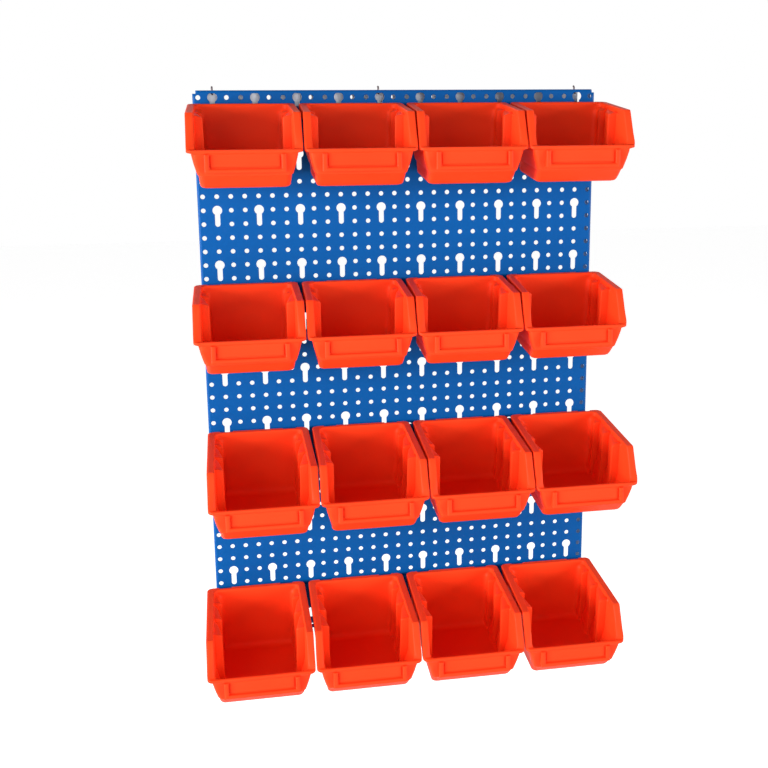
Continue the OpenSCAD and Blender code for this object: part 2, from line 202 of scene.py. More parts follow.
# The folds and flanges: a quarter bend, a strip with one hole at each row or column, its free
# edge, and its two ends. The same strip serves all four edges.
bend = np.radians(np.linspace(0, 90, 6))
depth_levels = np.linspace(fold, flange, 5)


def section(radius):
    """One skin of a folded edge in (back, out): a quarter circle round the fold's centre, then straight
    back."""
    return np.concatenate([np.stack([fold - radius * np.cos(bend), radius * np.sin(bend)], 1),
                           np.stack([depth_levels[1:], np.full(4, radius)], 1)])


skins = np.stack([section(fold), section(fold - sheet)])


def folded(u, holes, at, plain):
    """One folded edge along the stations u, with a hole at each of holes and plain runs where there are
    none. at turns (along, back, out) into x, y, z, where out is how far the skin lies outside the flat's
    edge."""
    for radius in (fold, fold - sheet):
        along, angle = np.meshgrid(u, bend, indexing="ij")
        patches.append((*lattice(at(along, fold - radius * np.cos(angle), radius * np.sin(angle))), True))
    centre = np.stack([holes, np.full(len(holes), flange_hole)], 1)[:, None]
    outline = np.broadcast_to(centre + walk, (len(holes), len(walk), 2)).copy()
    outline[..., 1] = depth_levels[np.rint(walk[:, 1] / quarter).astype(int) + 2]
    outline[..., 0] = np.clip(outline[..., 0], u[0], u[-1])
    at_end = np.abs(np.abs(outline[..., 0]) - u[-1]) < close
    outline[..., 0] = np.where(at_end, np.sign(outline[..., 0]) * u[-1], outline[..., 0])
    patches.append(punched(outline, centre + circle,
                           lambda along, back, depth: at(along, back, fold - depth)))
    for run in plain:
        for depth in (0, sheet):
            along, back = np.meshgrid(run, depth_levels, indexing="ij")
            patches.append((*lattice(at(along, back, fold - depth)), False))
    along, depth = np.meshgrid(u, [0, sheet], indexing="ij")
    patches.append((*lattice(at(along, flange, fold - depth)), False))
    for tip in (u[0], u[-1]):
        patches.append((*lattice(at(np.full(skins.shape[:2], tip), skins[..., 0], skins[..., 1])), False))


def stations(last, centres):
    """Quarter pitches between the two ends, at minus and plus last, so that the fold's points meet the
    flat's."""
    every = (centres[:, None] + np.arange(-2, 2) * quarter).ravel()
    inside = every[np.abs(every) < last - close]
    return np.unique(np.round(np.concatenate([[-last], inside, [last]]), 5))


up = stations(side_end, row_z)
across = stations(top_end, col_x)
plain_from = col_x[-2] + pitch / 2 - 0.1
for s in (-1, 1):
    folded(up, row_z[::-1],
           lambda a, y, o, s=s: np.stack(np.broadcast_arrays(s * (flat_x + o), y, a), -1), ())
    folded(across, col_x[1:-1],
           lambda a, y, o, s=s: np.stack(np.broadcast_arrays(a, y, s * (flat_z + o)), -1),
           (across[across < -plain_from], across[across > plain_from]))
    for t in (-1, 1):
        notch = np.array([(top_end, flat_z), (top_end, side_end), (flat_x, side_end)]) * [t, s]
        patches.append((*lattice(front(*np.repeat(notch[:, None], 2, 1).transpose(2, 0, 1),
                                       np.tile([0.0, sheet], (3, 1)))), False))

# Powder coat, sprayed and baked: an even satin blue, whose soft highlights break over a fine orange peel.
# Its shade drifts over patches of about 110 mm (9 to the metre), and the peel is 1.2 mm across (850 to the
# metre).
powder, tree, shader, coords = finish_of("blue_powder_coat")
drift = add(tree, "ShaderNodeTexNoise", {"Vector": coords, "Scale": 9.0, "Detail": 3.0, "Roughness": 0.55})
add(tree, "ShaderNodeMix", {0: drift.outputs["Fac"], 6: hex_colour("#004e95"), 7: hex_colour("#0059a3")},
    {2: shader.inputs["Base Color"]}, data_type="RGBA")
shader.inputs["Specular IOR Level"].default_value = 0.12
peel = add(tree, "ShaderNodeTexNoise", {"Vector": coords, "Scale": 850.0, "Detail": 2.0, "Roughness": 0.5})
add(tree, "ShaderNodeBump", {"Height": peel.outputs["Fac"], "Strength": 0.35, "Distance": 0.00012},
    {"Normal": shader.inputs["Normal"]})
add(tree, "ShaderNodeMapRange", {"Value": peel.outputs["Fac"], "To Min": 0.36, "To Max": 0.5},
    {"Result": shader.inputs["Roughness"]})

put("perforated_panel", *gather(patches), powder, "wall_panel", ("panel",), "blue_powder_coat")

# ---- Wall bracket ----
# A galvanised angle behind the top row of holes. The hanging hooks pass through its level leg,
# and its upright leg goes against the wall.


def refinish(node, material):
    """Gives a CAD node that stays in view its finish."""
    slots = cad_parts[node].data.materials
    slots.clear()
    slots.append(material)


# Hot-dip galvanised sheet: spangles of the zinc, 9 mm across (110 to the metre), each of its own grey and
# gloss.
zinc, tree, shader, coords = finish_of("galvanised_sheet")
spangle = add(tree, "ShaderNodeTexVoronoi", {"Vector": coords, "Scale": 110.0, "Randomness": 1.0})
grey = add(tree, "ShaderNodeRGBToBW", {"Color": spangle.outputs["Color"]})
add(tree, "ShaderNodeMix", {0: grey.outputs["Val"], 6: hex_colour("#b6b8c0"), 7: hex_colour("#d8d9df")},
    {2: shader.inputs["Base Color"]}, data_type="RGBA")
shader.inputs["Metallic"].default_value = 1.0
add(tree, "ShaderNodeMapRange", {"Value": grey.outputs["Val"], "To Min": 0.34, "To Max": 0.52},
    {"Result": shader.inputs["Roughness"]})
refinish("wall_bracket", zinc)

# ---- Hanging hooks ----
# Three lengths of 1.8 mm dark drawn wire: a foot under the bracket, a shank up through the top
# fold, and a tip bent back over the wall's rail.
wire_r, wire_bend = 0.9, 1.2
hook_columns = [1, 13, 28]


def rounded_path(corners, radius, n):
    """A path in a plane whose inner corners are eased over the given distance, as n steps of a parabola
    each."""
    corners = np.asarray(corners, float)
    t = np.linspace(0, 1, n)[:, None]
    parts = [corners[:1]]
    for before, at, after in zip(corners[:-2], corners[1:-1], corners[2:]):
        a, b = at + radius * unit(before - at), at + radius * unit(after - at)
        parts.append((1 - t) ** 2 * a + 2 * t * (1 - t) * at + t ** 2 * b)
    return np.concatenate(parts + [corners[-1:]])


def bent_wire(path, x, n=14):
    """A round wire along a path in y and z: circles square to the path, closed by small domes at its two
    ends."""
    along = unit(np.gradient(path, axis=0))
    path = np.concatenate([path[:1], path[:1], path, path[-1:], path[-1:]])
    along = np.concatenate([along[:1], along[:1], along, along[-1:], along[-1:]])
    size = np.full(len(path), wire_r)
    size[[0, 1, -2, -1]] = np.array([0, 0.7, 0.7, 0]) * wire_r
    shift = np.zeros(len(path))
    shift[[0, 1, -2, -1]] = np.array([-0.45, -0.3, 0.3, 0.45]) * wire_r
    path = path + along * shift[:, None]
    a = np.linspace(0, 2 * np.pi, n + 1)
    normal = np.stack([-along[:, 1], along[:, 0]], 1)
    yz = path[:, None] + size[:, None, None] * np.sin(a)[:, None] * normal[:, None]
    return lattice(np.stack([x + size[:, None] * np.cos(a) + 0 * yz[..., 0], yz[..., 0], yz[..., 1]], -1))


# Drawn steel wire, left dark from the die: a dull brown grey sheen. Its marks are far finer than can show,
# so they are drawn 0.7 mm across (1400 to the metre).
wire, tree, shader, coords = finish_of("dark_drawn_wire")
marks = add(tree, "ShaderNodeTexNoise", {"Vector": coords, "Scale": 1400.0, "Detail": 2.0})
add(tree, "ShaderNodeMix", {0: marks.outputs["Fac"], 6: hex_colour("#4a4346"), 7: hex_colour("#77696c")},
    {2: shader.inputs["Base Color"]}, data_type="RGBA")
shader.inputs["Metallic"].default_value = 0.9
shader.inputs["Roughness"].default_value = 0.42
shank = rounded_path([(7.2, 269.4), (10, 269.4), (10, 274.9), (12.1, 276.1)], wire_bend, 6)
put("hanging_hooks", *gather([(*bent_wire(shank, x), True) for x in col_x[hook_columns]]),
    wire, "wall_panel", ("hang_hooks",), "hook_wire")

# ---- Hanging rails ----
# Four lengths of strip folded to a step and an upright lip that the bins' hooks drop behind.
# They are coated with the panel and screwed through its holes.
rail_bend = 0.5
rail_rows = [0, 13, 24, 37]
rim_heights = row_z[rail_rows] - [5.4, 4.6, 7.8, 3.0]   # each row of bins hangs below a row of holes


def pulled(profile, x0, x1):
    """A closed profile in y and z pulled along x, with its two ends filled. Returns points and faces."""
    n = len(profile)
    ends = [np.concatenate([np.full((n, 1), x), profile], 1) for x in (x0, x1)]
    k = np.arange(n)
    sides = np.stack([k, (k + 1) % n, (k + 1) % n + n, k + n], 1)
    return np.concatenate(ends), sides.tolist() + [k.tolist(), (k[::-1] + n).tolist()]


strip = [(0, -31.4), (0, -11.8), (-4.9, -11.8), (-4.9, -2.7),
         (-6.1, -2.7), (-6.1, -13), (-1.2, -13), (-1.2, -31.4)]
foot_middle = (-0.6, -31.4)
closed = rounded_path([foot_middle] + strip + [foot_middle], rail_bend, 4)
for i, z in enumerate(rim_heights):
    points, faces = pulled(closed[:-1] + [0, z], -side_x, side_x)
    put(f"hanging_rail_{i + 1}", points, faces, False, powder,
        "wall_panel", (f"rail_row{i + 1}",), "blue_powder_coat")

# ---- Rail screws and nuts ----
# Sixteen zinc plated pan head screws through rail and panel, each with a chamfered hexagon nut
# behind the sheet. The plating is bright, with a faint haze of 2 mm patches (500 to the metre).
plate, tree, shader, coords = finish_of("bright_zinc_plate")
haze = add(tree, "ShaderNodeTexNoise", {"Vector": coords, "Scale": 500.0, "Detail": 3.0})
add(tree, "ShaderNodeMix", {0: haze.outputs["Fac"], 6: hex_colour("#a9acb2"), 7: hex_colour("#cfd1d6")},
    {2: shader.inputs["Base Color"]}, data_type="RGBA")
shader.inputs["Metallic"].default_value = 1.0
shader.inputs["Roughness"].default_value = 0.3
for node in ("rail_screws", "rail_nuts"):
    refinish(node, plate)

# ---- Storage bins ----
# Sixteen injection moulded polypropylene bins with walls about 2.2 mm thick: a floor, side walls with
# tongue-shaped ribs inside, a rim turned outwards with a skirt under it, a low front lip and a narrower
# foot. The two upper rows are one rib shallower. Two hooks under the rear rim drop behind the rail.
bin_half, rear_draw = 50.2, 1.45                  # half width over the rims, and how much less at the rear
outer_half, inner_half = 46.2, 43.2               # half widths over and between the side walls' tops
base_half, floor_half = 39.2, 37.2                # the same under the base and on the floor
base_front, floor_front = 14.7, 16.9              # how far those lie behind the lip's edge
lip_z, hem_z, floor_z, base_z = -29.5, -32.0, -63.3, -65.5   # heights from the rear rim
wall, recess = 2.2, 1.4                           # thickness of the walls, depth of the rear rim's recesses
slope_run, lip_run, far = 17, 3, 200              # the rim's slope, its level run at the lip, and far off
side_foot, front_foot, rear_foot, rear_base = 3.5, 4, 6, 8   # how far the foot's corners are eased
rib_round, rib_top, arch = 1.5, -8.2, 3.4         # the ribs' edge radius, and their arches' foot and height
groove_at, groove_r, groove_w, groove_depth = (1.6, -8.0), 3.9, 1.1, 2.0   # the small groove over each arch
skirt_start, skirt_fade = -9.0, 1.5               # where the skirt starts, and over how far
rim_gap, row_gap = 1.1, 0.36                      # the inside's loops close up to these gaps under the rim
hem_gap, hem_row = 0.7, 0.4                       # and the outside's loops to these under the skirt
tilt = np.radians(6)                              # how far a hung bin leans forward
lean = np.tan(tilt)
corner = np.radians(np.linspace(0, 90, 9))
rear_reach = 37.7
rear_x = np.array([rear_reach, 31, 24.3, 17, 9, 0, -9, -17, -24.3, -31, -rear_reach])
front_x = np.linspace(1, -1, 11)


def wall_outside(z):
    """Half width of the outside at a height: a slight draft down to the foot's step, then the foot."""
    return np.interp(z, [base_z, -52.6, -51.6, -47, -42, -37, -32, 0],
                     [base_half, 40.4, 41.5, 42.9, 44.3, 45.4, 46.1, outer_half])


def wall_inside(z):
    """Half width of the inside at a height, between the ribs."""
    return np.interp(z, [floor_z, -51.3, -45, -40, -36, -32, 0],
                     [floor_half, 39.3, 41.2, 42.3, 42.9, 43.2, 43.4])


def rib_edge(z):
    """Half width between the ribs' proud edges: nearly upright below the rim, then in to the floor."""
    return np.interp(z, [floor_z, -33, -8], [33.6, 34.6, 34.8])


def front_outside(z):
    """How far the outside of the front wall lies behind the lip's edge at a height."""
    return np.interp(z, [base_z, -53.7, -52.5, -33.7], [base_front, 4.8, 3.6, 1.2])


def front_inside(z):
    """How far the inside of the front wall lies behind the lip's edge at a height."""
    return np.interp(z, [floor_z, -51.3, lip_z], [floor_front, 5.8, wall])


def rear_at(z, inset=0.0):
    """Where the rear wall lies at a height, so that it hangs upright, and inset so far in from it."""
    return -3.5 + z * lean - inset


def even(value):
    """A half width that is the same at every place."""
    return lambda y, own: value + 0 * y


def eased_foot(up, distance, t):
    """A foot's corner eased as a parabola: t is 0 up the wall, along up, 1 on the floor, and more further
    in on it. Gives (inset, height)."""
    a = distance * np.array(up) / np.hypot(*up)
    b = distance * np.array([1.0, 0.0])
    return max(0, 1 - t) ** 2 * a + t ** 2 * b


def moulded(depth, steps):
    """A bin's shell: closed loops round it, seen from above, one under the other, from the middle of the
    floor up the inside, over the rim, down the skirt and the outside, and under the base. Each loop has the
    same stations: both sides, front, rear and four corners. steps are the places of the ribs' steps. Gives
    points and faces."""
    slope_end = depth - lip_run
    level_run = slope_end - slope_run
    # The side stations: many round each step, a few between steps, and five down the rim's slope.
    at_steps = np.array([-1.3, -0.06, 0.06, 0.25, 0.6, 1.2, 1.9, 2.8, 3.7, 4.6, 5.6])
    plain = [s - gap for s in steps for gap in (6.5, 12.5)] + [s - 18.5 for s in steps[:-1]]
    sloped = -level_run - np.array([-0.7, 0.7, 3, 7, 10.5])
    side_y = np.sort(np.concatenate([(steps[:, None] + at_steps).ravel(), plain, sloped]))[::-1]
    rear_pivot, front_pivot = steps[0] - 3, steps[-1] - 2.5
    kinds = [("side", 1, side_y), ("front corner", 1, corner), ("front", 0, front_x),
             ("front corner", -1, corner[::-1]), ("side", -1, side_y[::-1]), ("rear corner", -1, corner),
             ("rear", 0, rear_x[::-1]), ("rear corner", 1, corner[::-1])]

    def plan(half, rear, lip, rear_r, front_r, spread=1.0):
        """One loop seen from above. half gives the half width at a place y, with the station's own y as
        well; the rear and front edges are straight and the corners are quarter circles. Stations beyond the
        first and last rib are drawn in where a loop is shorter than they are."""
        parts = []
        high, low = rear - rear_r, lip + front_r
        rear_pull = min(1, max(0.02, (high - rear_pivot) / (side_y[0] - rear_pivot)))
        front_pull = min(1, (low - front_pivot) / (side_y[-1] - front_pivot))
        for kind, s, own in kinds:
            if kind == "side":
                y = np.where(own > rear_pivot, rear_pivot + (own - rear_pivot) * rear_pull, own)
                y = np.where(own < front_pivot, front_pivot + (own - front_pivot) * front_pull, y)
                parts.append(np.stack([s * half(y, own), y], 1))
            elif kind == "front":
                parts.append(np.stack([own * (half(low, low) - front_r), 0 * own + lip], 1))
            elif kind == "rear":
                fitted = np.minimum(spread, (half(high, high) - rear_r) / rear_reach)
                parts.append(np.stack([own * fitted, 0 * own + rear], 1))
            elif kind == "front corner":
                parts.append(np.stack([s * (half(low, low) - front_r + front_r * np.cos(own)),
                                       low - front_r * np.sin(own)], 1))
            else:
                parts.append(np.stack([s * (half(high, high) - rear_r + rear_r * np.cos(own)),
                                       high + rear_r * np.sin(own)], 1))
        return np.concatenate(parts)

    def share(wanted):
        """1 across the front or the rear, 0 on the sides, and the sine squared of the corner's angle
        between them."""
        return np.concatenate([np.ones(len(v)) if kind == wanted else
                               np.sin(v) ** 2 if kind == wanted + " corner" else 0.0 * v
                               for kind, _, v in kinds])

    def rim_height(y):
        """The rim's height at a place: level, then down the slope to the lip."""
        return np.interp(-y, [0, level_run, slope_end, far], [0, 0, lip_z, lip_z])

    at_front, at_rear = share("front"), share("rear")
    at_side = 1 - at_front - at_rear
    station_y = plan(even(45), -3, 1 - depth, 6, 5)[:, 1]
    rim_line = rim_height(station_y)
    on_slope = (station_y < -level_run) & (station_y > -slope_end)
    steep = np.where(on_slope, np.hypot(1, lip_z / slope_run), 1.0)
    skirted = np.clip((skirt_start - station_y) / skirt_fade, 0, 1)

    def level(side_z, front_z, rear_z):
        """A loop's heights: one along the sides, one across the front and one across the rear, by their
        shares."""
        return at_side * side_z + at_front * front_z + at_rear * rear_z

    def drawn(y):
        """How much narrower the bin is at y than at its lip: rear_draw at the rear, evenly less forward."""
        return rear_draw * (1 + y / depth)

    def growth(own):
        """How far a rib has grown inwards at a station, like saw teeth: its share of the way from the last
        step to its own, to the power 0.6."""
        u = np.zeros_like(own, float)
        for a, b in zip([-3.0, *steps[:-1]], steps):
            u = np.where((own <= a) & (own >= b), np.clip((a - own) / (a - b), 0, 1), u)
        return u ** 0.6

    def ribbed(y, own, z, fade=1.0):
        """The inside with its ribs: each ends under the rim in a quarter ellipse with a small groove over
        it, and its proud edge is rounded."""
        base = np.minimum(wall_inside(z), inner_half - drawn(y))
        rise = np.sqrt(1 - np.clip((z - rib_top) / arch, 0, 1) ** 2)
        behind = np.min([np.where(own >= s, own - s, far) for s in steps], 0)
        edge = rib_round * (1 - np.sqrt(1 - np.clip(1 - behind / rib_round, 0, 1) ** 2))
        rib = (base - rib_edge(z)) * growth(own) * rise * fade
        off_arc = [np.abs(np.hypot(own - s - groove_at[0], z - groove_at[1]) - groove_r) for s in steps]
        groove = groove_depth * np.max(np.clip(1 - np.array(off_arc) / groove_w, 0, 1), 0)
        return base - np.maximum(rib - edge * (rib > 0.5), 0) + groove * (z > rib_top) * (rib < 2.5)

    loops = []

    def loop(shape, heights):
        """Adds one loop: its plan, and its height at each station."""
        loops.append(np.concatenate([shape, np.broadcast_to(heights, len(shape))[:, None]], 1))

    def middle_line(ring, z):
        """Closes the floor or the base: the ring drawn in to a line down its middle, from 45 mm behind the
        lip to 34 mm in front of the rear."""
        loop(np.stack([0 * ring[:, 0], np.clip(ring[:, 1], 45 - depth, -34)], 1), z)

    # The floor from its middle line out, up the eased foot, and up the walls. The walls' rows give a height
    # on the sides, across the front and across the rear.
    ring = plan(even(18.0), -20, 27 - depth, 2, 2, 0.4)
    middle_line(ring, floor_z)
    loop(ring, floor_z)
    for t in (1.1, 1.0, 0.8, 0.6, 0.4, 0.2, 0.0):
        s_in, s_up = eased_foot((-2.1, 12.0), side_foot, t)
        r_in, r_up = eased_foot((-1.26, 12.0), rear_foot, t)
        f_in, f_up = eased_foot((-11.1, 12.0), front_foot, t)
        s_z = floor_z + s_up

        def half(y, own, s_z=s_z, t=t, s_in=s_in):
            narrowed = (wall_inside(s_z) - floor_half) * (s_in > 0)
            return ribbed(y, own, s_z, 1 - 0.8 * min(t, 1)) - s_in - narrowed

        loop(plan(half, rear_at(floor_z, wall) - r_in, floor_front - depth + f_in, 4, 5, 0.9),
             level(s_z, floor_z + f_up, floor_z + r_up))
    inside = [(-57.5, -57.5, -55), (-54.5, -55, -51), (-51.3, -52.5, -47), (-49, -50.5, -43.5),
              (-47, -48.5, -40.5), (-45, -46.5, -38), (-42.5, -44.6, -35.5), (-40, -43, -33),
              (-38, -41.6, -30.5), (-36, -40.2, -28), (-34, -39, -26), (-32, -38, -24), (-29, -36.8, -22),
              (-26, -35.8, -20), (-22, -34.8, -18.4), (-18, -34, -17), (-15, -33.4, -15.6),
              (-13, -32.9, -14.2), (-12, -32.5, -13), (-11, -32.1, -12), (-10.2, -31.8, -11.2),
              (-9.4, -31.5, -10.4), (-8.6, -31.3, -9.6), (-7.9, -31.1, -8.8), (-7.2, -30.9, -8),
              (-6.6, -30.75, -7.2), (-6, -30.6, -6.4), (-5.5, -30.5, -5.6), (-5, -30.4, -4.8),
              (-4.4, -30.3, -4.2), (-3.6, -30.2, -3.4), (-2.6, -30.1, -2.2), (-1.1, -30.0, -1.1)]
    for k, (s_z, f_z, r_z) in enumerate(inside):
        below = rim_gap + row_gap * (len(inside) - 1 - k)

        def half(y, own, s_z=s_z, below=below):
            top = rim_height(y)
            return ribbed(y, own, np.minimum(s_z, top - below * np.where(top < 0, 1.7, 1.0)))

        loop(plan(half, rear_at(r_z, wall), front_inside(f_z) - depth, 5, 5, 0.93),
             level(np.minimum(s_z, rim_line - below * steep), f_z, r_z))

    # Over the rim: a small inner radius, the top, a small outer radius. At the rear the top's loops are
    # moved to set places, between which the two recesses start and end.
    def rim_at(inset):
        """The rim's edge, and so far in from it."""
        return lambda y, own: bin_half - inset - drawn(y)

    inner = plan(lambda y, own: inner_half - drawn(y), rear_at(0, wall), wall - depth, 5, 5, 0.95)
    outer = plan(rim_at(0.9), -0.9, 0.9 - depth, 4.2, 4.3)
    loop(inner + (outer - inner) * 0.035, level(rim_line - 0.45 * steep, lip_z - 0.45, -0.45))
    first_top = len(loops)
    for part, back in ((0.13, -4.9), (0.42, -2.3), (0.74, -0.75), (1.0, -0.6)):
        shape = inner + (outer - inner) * part
        shape[:, 1] += (at_rear > 0.99) * (back - shape[:, 1])
        loop(shape, level(rim_line, lip_z, 0))
    loop(plan(rim_at(0.3), -0.25, 0.3 - depth, 4.7, 4.8), level(rim_line - 0.3 * steep, lip_z - 0.25, -0.3))
    loop(plan(rim_at(0), 0, -depth, 5, 5), level(rim_line - 0.9 * steep, lip_z - 0.8, -0.9))

    # Down the skirt, round its edge, up behind it and in under the rim. The lip's bead and the plain rear
    # rim share these loops. A row gives how far in the loop lies, its share of the way to the hem, the
    # rear's place and height, and the front's.
    under = np.maximum(rim_line - 2 * steep, lip_z - 2.2)
    hem = np.where(skirted > 0, np.maximum(rim_line - 8 * steep, hem_z), rim_line - 2)
    hem = under + (hem - under) * skirted
    first_skirt = len(loops)
    for inset, part, back, r_z, fore, f_z in (
            (0, 0.4, 0, -1.1, 0, -31.0), (0, 0.9, 0, -1.5, 0, -31.9), (0.35, 1.0, -0.3, -1.95, 0.1, -32.3),
            (1.4, 1.0, -0.8, -2.0, 0.4, -32.6), (1.8, 0.9, -1.1, -2.0, 0.6, -32.8),
            (1.85, 0.35, -1.3, -2.0, 0.7, -32.95)):
        z_side = rim_line - 0.9 * steep + (hem - rim_line + 0.9 * steep) * part
        if inset > 1.6:
            z_side = hem + (under - hem) * (1 - part)
        corner_r = 5 - inset * 0.4
        loop(plan(rim_at(inset), back, fore - depth, corner_r, corner_r), level(z_side, f_z, r_z))
    rim_in = plan(rim_at(1.85), -1.3, 0.7 - depth, 4.3, 4.3)
    wall_top = plan(lambda y, own: outer_half - drawn(y), -3.5, 1.2 - depth, 6, 5)
    for part, back, r_z, fore, f_z in ((0.25, -1.6, -2.0, 0.8, -33.1), (0.85, -3.4, -2.0, 1.1, -33.5)):
        shape = rim_in + (wall_top - rim_in) * part
        shape[:, 1] += (at_rear > 0.99) * (back - shape[:, 1]) + at_front * (fore - depth - shape[:, 1])
        loop(shape, level(under, f_z, r_z))

    # Down the outside of the walls, over the foot's step, and under to the shallow recess in the base.
    outside = [(-3.0, -33.8, -2.6), (-8, -34.6, -8), (-14, -35.6, -14), (-20, -36.8, -20),
               (-26, -38.2, -26), (-32, -40, -32), (-34.5, -41.4, -35), (-37, -42.8, -38),
               (-39.5, -44.2, -41), (-42, -45.8, -44), (-44.5, -47.4, -46.5), (-47, -49, -49),
               (-49.3, -50.7, -50.5), (-51.6, -52.5, -51.8), (-52.6, -53.7, -52.8), (-56, -56.5, -54.4),
               (-59, -59.2, -56)]
    for k, (s_z, f_z, r_z) in enumerate(outside):
        def half(y, own, s_z=s_z, k=k):
            low = np.interp(-y, [0, level_run, slope_end, far], [-2, -3.9, -31.7, -31.7])
            height = np.minimum(s_z, low - hem_gap - hem_row * k)
            return np.minimum(wall_outside(height), outer_half - drawn(y))

        loop(plan(half, rear_at(r_z), front_outside(f_z) - depth, 6, 5, 0.95),
             level(np.minimum(s_z, under - hem_gap - hem_row * k), f_z, r_z))
    for t in (0.0, 0.25, 0.5, 0.75, 1.0, 1.08):
        s_in, s_up = eased_foot((-1.2, 12.9), side_foot, t)
        r_in, r_up = eased_foot((-1.36, 12.9), rear_base, t)
        f_in, f_up = eased_foot((-9.9, 11.8), front_foot, t)
        loop(plan(even(base_half - s_in), rear_at(base_z) - r_in, base_front - depth + f_in, 4, 5, 0.95),
             level(base_z + s_up, base_z + f_up, base_z + r_up))
    for shrink, z in ((3.0, base_z), (3.8, base_z + 0.8)):
        ring = plan(even(base_half - side_foot - shrink), rear_at(base_z) - rear_base - shrink,
                    base_front + front_foot - depth + shrink, 2, 4, 0.9)
        loop(ring, z)
    middle_line(ring, base_z + 0.8)

    grid = np.stack(loops)
    rows, around = grid.shape[:2]
    i, j = np.meshgrid(np.arange(rows - 1), np.arange(around), indexing="ij")
    quads = np.stack([i * around + j, i * around + (j + 1) % around,
                      (i + 1) * around + (j + 1) % around, (i + 1) * around + j], -1)

    # The two recesses in the rear rim's top edge, over the hooks, open to the rear: the faces there are
    # left out, and a front wall, a floor and two ends close the opening.
    keep = np.ones(quads.shape[:2], bool)
    points, faces = [grid.reshape(-1, 3)], []
    rear_start = sum(len(v) for _, _, v in kinds[:6])
    down = np.arange(first_top + 1, first_skirt + 2)
    for a, b in ((0, 2), (8, 10)):
        keep[down[:-1, None], rear_start + np.arange(a, b)] = False
        line = np.arange(rear_start + a, rear_start + b + 1)
        sunk = sum(map(len, points)) + np.arange(len(line))
        points.append(grid[down[0], line] - [0, 0, recess])
        for one, other in ((down[0] * around + line, sunk), (sunk, down[-1] * around + line)):
            faces += np.stack([one[:-1], one[1:], other[1:], other[:-1]], 1).tolist()
        faces.append([*(down[::-1] * around + line[0]).tolist(), int(sunk[0])])
        faces.append([*(down * around + line[-1]).tolist(), int(sunk[-1])])
    return np.concatenate(points), quads[keep].tolist() + faces


def holder(depth):
    """The label holder: a face in x and s (down the front) that stands proud as a U and lies back in its
    pocket, open at the top, carried back into the wall all round its edge."""
    half_w, low, post, foot = 35.0, 15.4, 4.0, 3.2   # half width, height, and the U's posts and foot
    top, proud, slant = -33.5, 0.9, 0.153            # its upper edge, how far it stands out, and its lean
    pocket, groove, into_wall = 2.1, 2.9, 3.6        # how far back the pocket, its groove and the rear lie
    soft, edge_r = 0.55, 0.9                         # how far the U's edges are eased, and over what width
    xs = np.array([-half_w, -half_w + 0.3, -half_w + 0.9, -half_w + 3.1, -half_w + 3.7, -half_w + post,
                   -half_w + post + 0.05, -half_w + post + 1.0, -half_w + post + 1.5, -12, 0])
    xs = np.concatenate([xs, -xs[-2::-1]])
    ss = np.array([0, 0.4, 1.0, 5, low - foot - 1.5, low - foot - 1.0, low - foot - 0.05, low - foot,
                   low - 2.9, low - 2.3, low - 0.9, low - 0.3, low])
    x, s = np.meshgrid(xs, ss)
    deep = np.maximum(np.abs(x) - (half_w - post), s - (low - foot))
    near = np.minimum(deep, np.minimum(half_w - np.abs(x), low - s))
    rounded = soft * np.clip(1 - near / edge_r, 0, 1) ** 2
    back_by = np.where(deep < -0.01, np.interp(deep, [-1.5, -1.0], [pocket, groove]), rounded)
    face = np.stack([x, back_by - depth - proud - slant * s, top - s], -1)
    back = face.copy()
    back[..., 1] = into_wall - depth
    n, m = x.shape
    p, f = lattice(face)
    edge = np.concatenate([np.arange(m), np.arange(1, n) * m + m - 1,
                           (n - 1) * m + np.arange(m - 2, -1, -1), np.arange(n - 2, 0, -1) * m])
    rim = np.stack([edge, np.roll(edge, -1), np.roll(edge, -1) + n * m, edge + n * m], 1)
    return np.concatenate([p, back.reshape(-1, 3)]), np.concatenate([f, f[:, ::-1] + n * m, rim])


def hook(x0):
    """A moulded hook: a tongue 13.4 mm wide under the rim's rear edge, a rounded oblong at each place down
    it, of the thickness and half width given there."""
    down = np.array([0, 0.3, 2.5, 6.5, 7.1, 7.5])[:, None]
    thick = np.array([1.5, 1.5, 1.5, 1.35, 1.0, 0.5])[:, None]
    wide = np.array([6.7, 6.7, 6.7, 6.6, 6.3, 5.6])[:, None]
    ring = np.array([(-1, -0.1), (-0.97, 0), (0.97, 0), (1, -0.1),
                     (1, -0.9), (0.97, -1), (-0.97, -1), (-1, -0.9)])
    rows, n = len(down), len(ring)
    lay = np.stack([x0 + ring[:, 0] * wide,
                    ring[:, 1] * thick - lean * (2 + down) - (1.5 - thick) / 2 - 0.05,
                    np.broadcast_to(-2.0 - down, (rows, n)) + 0.3], -1)
    p, f = lattice(np.concatenate([lay, lay[:, :1]], 1))
    return p, f, [[*range(n)], [(rows - 1) * (n + 1) + k for k in range(n - 1, -1, -1)]]


# Polypropylene, moulded in a lightly grained tool: a warm even orange with a soft, low sheen. Its colour
# flows in patches of about 70 mm (14 to the metre). The grain is finer than can show and is drawn 0.7 mm
# across (1500 to the metre).
orange, tree, shader, coords = finish_of("orange_polypropylene")
flow = add(tree, "ShaderNodeTexNoise", {"Vector": coords, "Scale": 14.0, "Detail": 2.0, "Roughness": 0.5})
add(tree, "ShaderNodeMix", {0: flow.outputs["Fac"], 6: hex_colour("#fc3e16"), 7: hex_colour("#ff491e")},
    {2: shader.inputs["Base Color"]}, data_type="RGBA")
grain = add(tree, "ShaderNodeTexNoise", {"Vector": coords, "Scale": 1500.0, "Detail": 2.0})
add(tree, "ShaderNodeBump", {"Height": grain.outputs["Fac"], "Strength": 0.2, "Distance": 0.00006},
    {"Normal": shader.inputs["Normal"]})
add(tree, "ShaderNodeMapRange", {"Value": flow.outputs["Fac"], "To Min": 0.46, "To Max": 0.56},
    {"Result": shader.inputs["Roughness"]})
shader.inputs["Specular IOR Level"].default_value = 0.12

